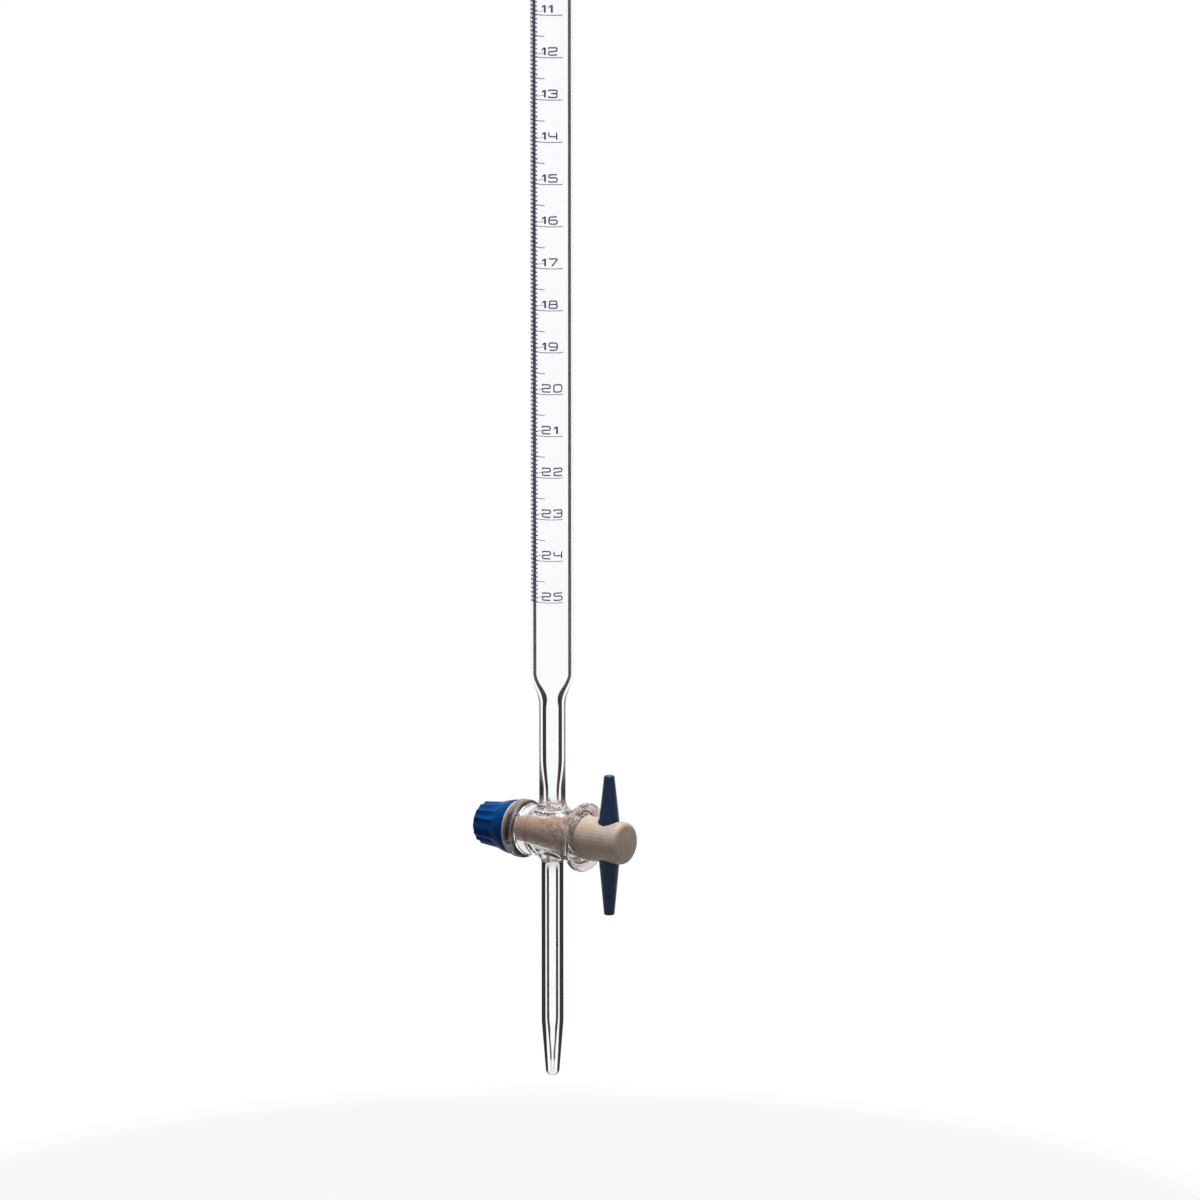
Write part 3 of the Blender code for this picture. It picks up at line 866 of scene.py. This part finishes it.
def add_number(made, number, foot_z):
    """Adds a number to a bmesh, its strokes pressed flat and wrapped round the tube at a height."""
    before = len(made.verts)
    mesh = number_strokes(number)
    made.from_mesh(mesh)
    bpy.data.meshes.remove(mesh)
    made.verts.ensure_lookup_table()
    flatness = (ENAMEL_DEPTH + ENAMEL_PROUD) / NUMERAL_STROKE
    middle = TUBE_RADIUS + (ENAMEL_PROUD - ENAMEL_DEPTH) / 2
    for vertex in made.verts[before:]:
        across, up, out = vertex.co
        turn = SCALE_TURN + math.radians(NUMERAL_START) + across / TUBE_RADIUS
        radius = middle + out * flatness
        vertex.co = (radius * math.cos(turn), radius * math.sin(turn), foot_z + up)


def numerals(finish):
    made = bmesh.new()
    for ml in range(LAST_ML + 1):
        add_number(made, ml, ZERO_Z - ml * ML_HEIGHT + NUMERAL_RISE)
    bmesh.ops.remove_doubles(made, verts=made.verts[:], dist=WELD_DISTANCE)
    bmesh.ops.recalc_face_normals(made, faces=made.faces[:])
    digits = piece("scale_numerals", mesh_of(made, "scale_numerals"), finish)
    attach(digits, "glass")


# Screw thread

def stub_thread(finish):
    """The stub's thread: a ridge spun up the stub at the nut's pitch and cut off level with the flat."""
    made = bmesh.new()
    low = STUB_RADIUS - THREAD_ROOT
    high = STUB_RADIUS + THREAD_PROUD
    start = STUB_END + THREAD_RUN_OUT
    section = ((low, 0, start - THREAD_HALF_WIDTH), (high, 0, start), (low, 0, start + THREAD_HALF_WIDTH))
    face = made.faces.new([made.verts.new(co) for co in section])
    turns = THREAD_LENGTH / THREAD_PITCH
    steps = round(turns * THREAD_STEPS_PER_TURN)
    spin(made, [face], 2 * math.pi * turns, steps, dvec=(0, 0, THREAD_LENGTH / steps))
    mesh = bpy.data.meshes.new("stub_thread")
    made.to_mesh(mesh)
    laid_along_x(mesh)
    made.clear()
    made.from_mesh(mesh)
    bmesh.ops.bisect_plane(
        made,
        geom=made.verts[:] + made.edges[:] + made.faces[:],
        plane_co=(0, 0, PLUG_Z + STUB_FLAT),
        plane_no=(0, 0, 1),
        clear_outer=True,
    )
    bmesh.ops.holes_fill(made, edges=[edge for edge in made.edges if edge.is_boundary])
    bmesh.ops.recalc_face_normals(made, faces=made.faces[:])
    made.to_mesh(mesh)
    made.free()
    thread = piece("stub_thread", mesh, finish)
    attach(thread, "key")


# Finishes of the turned and moulded pieces

PTFE_TONES = ((0.3, (0.46, 0.355, 0.28)), (0.7, (0.54, 0.43, 0.35)))
# Painted shade: the plug darker inside the barrel
PTFE_SHADE_IN_BARREL = (0.37, 0.235, 0.155)

# Where the plug comes out of the barrel along X, and the width of the soft step there
HANDLE_WAY_OUT = (HANDLE_END - 0.6 * MM, 1.6 * MM)
NUT_WAY_OUT = (NUT_END - 0.15 * MM, 0.3 * MM)

TEXTURE_DEPTH = 0.05 * MM
STREAK_STRETCH = 0.08

# Node, material, its dark and light tones, roughness, axis of the flow streaks and level of gloss
PLASTICS = (
    ("handle_bar", "navy_plastic", (0.005, 0.023, 0.08), (0.008, 0.034, 0.115), 0.3, "Z", 0.2),
    ("tension_nut", "blue_plastic", (0.001, 0.042, 0.17), (0.002, 0.066, 0.25), 0.3, "X", 0.02),
    ("o_ring", "black_rubber", (0.012, 0.012, 0.012), (0.025, 0.025, 0.025), 0.6, "X", 0.14),
)


def skin(tree, colour, roughness, gloss, texture, strength):
    """A material's surface with a fine texture in it."""
    bump = node(tree, "Bump", Strength=strength, Distance=TEXTURE_DEPTH, Height=texture)
    shader = node(
        tree,
        "BsdfPrincipled",
        Base_Color=colour,
        Roughness=roughness,
        Specular_IOR_Level=gloss,
        Normal=bump.outputs["Normal"],
    )
    node(tree, "OutputMaterial", Surface=shader.outputs[0])


def ptfe_finish():
    """Waxy PTFE with fine turning rings, and painted shade where the barrel holds it."""
    made = bpy.data.materials.new("waxy_ptfe")
    tree = tree_of(made)
    place = node(tree, "TexCoord").outputs["Object"]
    cloud = node(tree, "TexNoise", Vector=place, Scale=350, Detail=3)
    along = node(tree, "SeparateXYZ", Vector=place).outputs["X"]
    past_handle = rise(tree, along, *HANDLE_WAY_OUT)
    past_nut = inverse(tree, rise(tree, along, *NUT_WAY_OUT))
    outside = math_node(tree, "MAXIMUM", past_handle, past_nut)
    colour = colour_mix(tree, outside, PTFE_SHADE_IN_BARREL, two_tones(tree, cloud.outputs["Fac"], *PTFE_TONES))
    rings = node(tree, "TexWave", Vector=place, Scale=900, Distortion=1.5, Detail=2)
    rings.wave_type = "BANDS"
    rings.bands_direction = "X"
    skin(tree, colour, roughness=0.45, gloss=0.3, texture=rings.outputs["Fac"], strength=0.12)
    return made


def plastic_finish(name, low, high, roughness, streak_axis, gloss):
    """Moulded plastic: a base colour that wanders a little, a fine skin and flow streaks along an axis."""
    made = bpy.data.materials.new(name)
    tree = tree_of(made)
    stretch = [STREAK_STRETCH if axis == streak_axis else 1.0 for axis in "XYZ"]
    place = node(tree, "Mapping", Vector=node(tree, "TexCoord").outputs["Object"], Scale=stretch)
    cloud = node(tree, "TexNoise", Vector=place.outputs[0], Scale=900, Detail=4).outputs["Fac"]
    colour = two_tones(tree, cloud, (0.3, low), (0.72, high))
    skin(tree, colour, roughness, gloss, texture=cloud, strength=0.15)
    return made


def refinish(node_name, finish):
    """Gives a carried-over CAD node a finish of this scene."""
    made = frame["nodes"][node_name]
    made.data.materials.clear()
    made.data.materials.append(finish)


# Stage

FLOOR_DROP = 60 * MM
FLOOR_RADIUS = 12.0
FLOOR_STEPS = 96
FLOOR_COLOUR = (0.24, 0.24, 0.24)
SHADOW_END = (0.17, 0.14)
LEAST_WHITE = 0.9
WORLD_LEVEL = 0.07

# Name, offset from the stopcock in metres, side in metres and power in watts
LAMPS = (
    ("overhead_lamp", (0.0, 0.05, 0.95), 0.6, 16.0),
    ("front_lamp", (1.28, -0.9, 0.45), 0.9, 1.6),
)


def seen_directly(tree):
    """1 for the rays that show a backdrop: straight from the camera, mirrored or through glass."""
    path = node(tree, "LightPath")
    seen = math_node(tree, "MAXIMUM", path.outputs["Is Camera Ray"], path.outputs["Is Glossy Ray"])
    return math_node(tree, "MAXIMUM", seen, path.outputs["Is Transmission Ray"])


def floor():
    """A pale floor that keeps the object's shadow near it and turns to plain white further out."""
    made = bmesh.new()
    bmesh.ops.create_circle(made, cap_ends=True, segments=FLOOR_STEPS, radius=FLOOR_RADIUS)
    bmesh.ops.translate(made, verts=made.verts[:], vec=(0, 0, TIP_Z - FLOOR_DROP))
    mesh = mesh_of(made, "floor")
    finish = bpy.data.materials.new("pale_floor")
    tree = tree_of(finish)
    flat = node(tree, "VectorMath")
    flat.operation = "MULTIPLY"
    feed(tree, flat.inputs[0], node(tree, "TexCoord").outputs["Object"])
    feed(tree, flat.inputs[1], (1, 1, 0))
    reach = node(tree, "VectorMath")
    reach.operation = "LENGTH"
    feed(tree, reach.inputs[0], flat.outputs[0])
    white_share = math_node(tree, "MAXIMUM", rise(tree, reach.outputs["Value"], *SHADOW_END), LEAST_WHITE)
    shown = product(tree, white_share, seen_directly(tree))
    plain = node(tree, "BsdfDiffuse", Color=FLOOR_COLOUR)
    white = node(tree, "Emission", Strength=1.0)
    surface = shader_mix(tree, shown, plain.outputs[0], white.outputs[0])
    node(tree, "OutputMaterial", Surface=surface)
    piece("floor", mesh, finish)


def world():
    made = bpy.data.worlds.new("studio")
    bpy.context.scene.world = made
    tree = tree_of(made)
    strength = node(tree, "MapRange", Value=seen_directly(tree), To_Min=WORLD_LEVEL, To_Max=1.0)
    background = node(tree, "Background", Color=(1, 1, 1), Strength=strength.outputs["Result"])
    node(tree, "OutputWorld", Surface=background.outputs[0])


def lamp(name, offset, size, power):
    """A soft square lamp at an offset from the stopcock, turned towards it."""
    data = bpy.data.lights.new(name, "AREA")
    data.size = size
    data.energy = power
    made = bpy.data.objects.new(name, data)
    bpy.context.scene.collection.objects.link(made)
    made.location = Vector((0, 0, PLUG_Z)) + Vector(offset)
    made.rotation_euler = (-Vector(offset)).to_track_quat("-Z", "Y").to_euler()


# Camera

CAMERA_DISTANCE = 2.75
CAMERA_PITCH = math.radians(10.8)
CAMERA_TURN = math.radians(36)
LENS = 278.5
SENSOR = 36.0
FRAME_PIXELS = 1200
FULL_MARK_PIXEL = (552.2, 599.1)
VIEW_END = 100


def camera():
    """The photograph's view: the 25 mark on the tube's axis shows at FULL_MARK_PIXEL."""
    data = bpy.data.cameras.new("photo_view")
    data.lens = LENS
    data.sensor_width = SENSOR
    data.clip_end = VIEW_END
    made = bpy.data.objects.new("photo_view", data)
    bpy.context.scene.collection.objects.link(made)
    made.rotation_euler = (math.pi / 2 - CAMERA_PITCH, 0, CAMERA_TURN)
    turn = made.rotation_euler.to_matrix()
    right, up, away = turn.col[0], turn.col[1], turn.col[2]
    per_pixel = CAMERA_DISTANCE / (LENS / SENSOR * FRAME_PIXELS)
    middle = FRAME_PIXELS / 2
    mark = Vector((0, 0, FULL_Z))
    made.location = (
        mark
        + away * CAMERA_DISTANCE
        - right * (FULL_MARK_PIXEL[0] - middle) * per_pixel
        + up * (FULL_MARK_PIXEL[1] - middle) * per_pixel
    )
    bpy.context.scene.camera = made


def main():
    camera()
    burette_glass()
    blue_print = enamel()
    scale_lines(blue_print)
    numerals(blue_print)
    ptfe = ptfe_finish()
    refinish("stopcock_plug", ptfe)
    refinish("ptfe_washer", ptfe)
    stub_thread(ptfe)
    for node_name, *look in PLASTICS:
        refinish(node_name, plastic_finish(*look))
    floor()
    world()
    for row in LAMPS:
        lamp(*row)
    bpy.context.scene.view_settings.view_transform = "Standard"


main()
